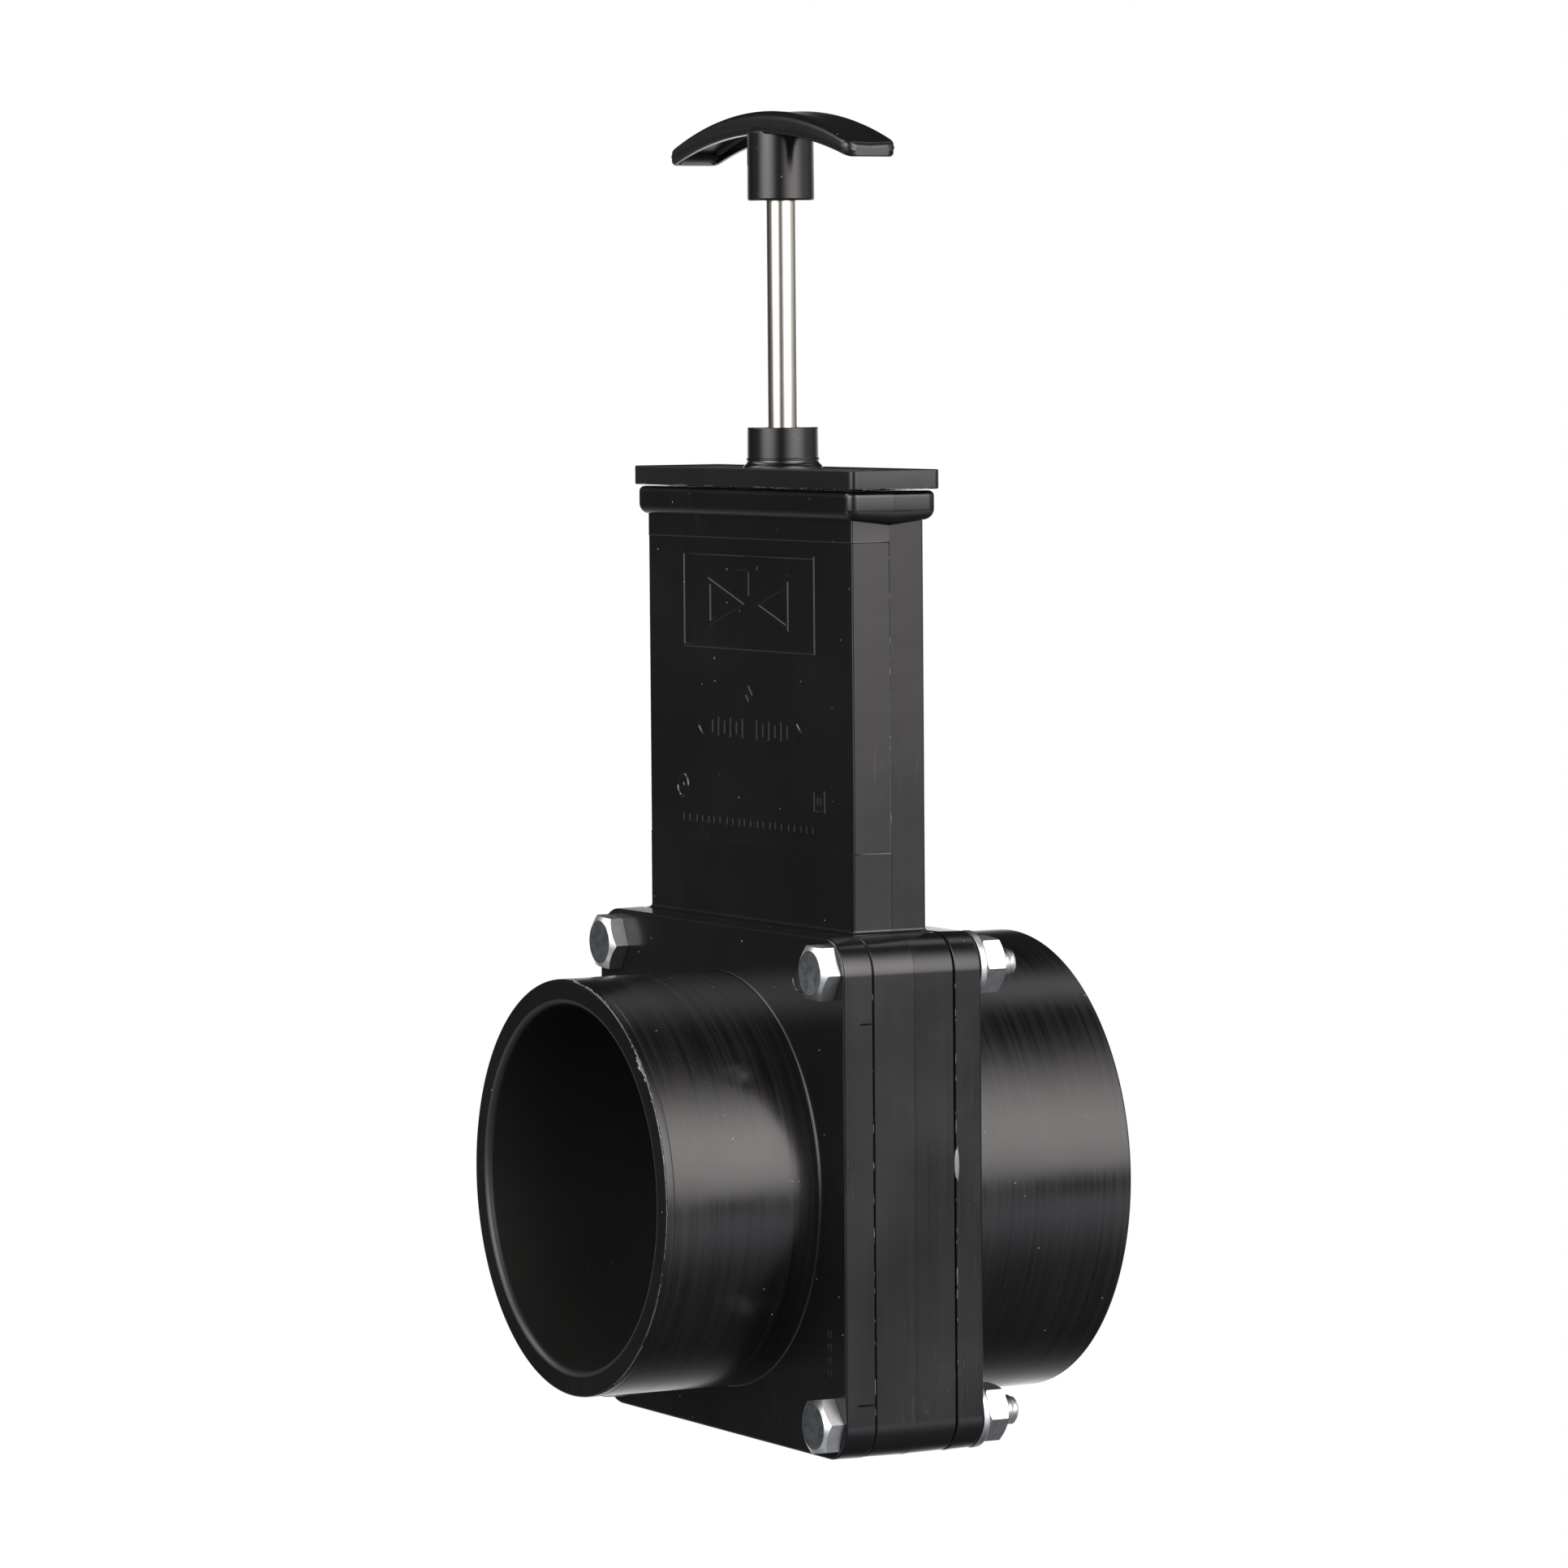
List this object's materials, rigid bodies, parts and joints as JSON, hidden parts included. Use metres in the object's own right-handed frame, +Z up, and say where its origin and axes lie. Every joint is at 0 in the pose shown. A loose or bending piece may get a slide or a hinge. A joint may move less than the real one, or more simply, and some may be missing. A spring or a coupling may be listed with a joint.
{
  "type": "knife gate valve",
  "caption": "Pull-rod knife gate waste valve: square bolted black plastic housing with a pipe spigot, a hub socket, a tall flat neck, a sliding blade and an arched T-handle.",
  "frame": {"origin": "centre of the flat bottom face of the square housing, under the pipe axis and on the mould parting plane of the centre body", "axes": "+Z up the neck and the rod, along the blade's travel; +Y along the pipe axis towards the hub socket, -Y towards the spigot; +X across the neck's wide face"},
  "size_m": [0.11, 0.1096, 0.2834],
  "materials": {
    "black_abs": "moulded black ABS, glossy to satin, with fine handling scratches",
    "blade_plastic": "moulded black polypropylene, satin",
    "seal_rubber": "matt black nitrile rubber",
    "zinc_steel": "bright zinc plate, faintly mottled",
    "stainless_steel": "drawn stainless bar, polished, with faint lengthwise lines"
  },
  "bodies": {
    "housing": {"valve_body": "black_abs", "spigot_fitting": "black_abs", "hub_fitting": "black_abs", "front_seal": "seal_rubber", "rear_seal": "seal_rubber", "bonnet_cap": "black_abs", "rod_oring": "seal_rubber", "oring_bush": "blade_plastic", "hex_bolt_1": "zinc_steel", "flat_washer_1": "zinc_steel", "hex_nut_1": "zinc_steel", "hex_bolt_2": "zinc_steel", "flat_washer_2": "zinc_steel", "hex_nut_2": "zinc_steel", "hex_bolt_3": "zinc_steel", "flat_washer_3": "zinc_steel", "hex_nut_3": "zinc_steel", "hex_bolt_4": "zinc_steel", "flat_washer_4": "zinc_steel", "hex_nut_4": "zinc_steel"},
    "gate": {"gate_blade": "blade_plastic"},
    "stem": {"pull_rod": "stainless_steel", "pull_handle": "black_abs"}
  },
  "joints": [
    {"name": "gate_lift", "type": "slide", "parent": "housing", "child": "gate", "axis": [0, 0, 1], "range_m": [0, 0.084]},
    {"name": "handle_swivel", "type": "hinge", "parent": "gate", "child": "stem", "pos_m": [0, 0, 0.108], "axis": [0, 0, 1], "continuous": true}
  ]
}
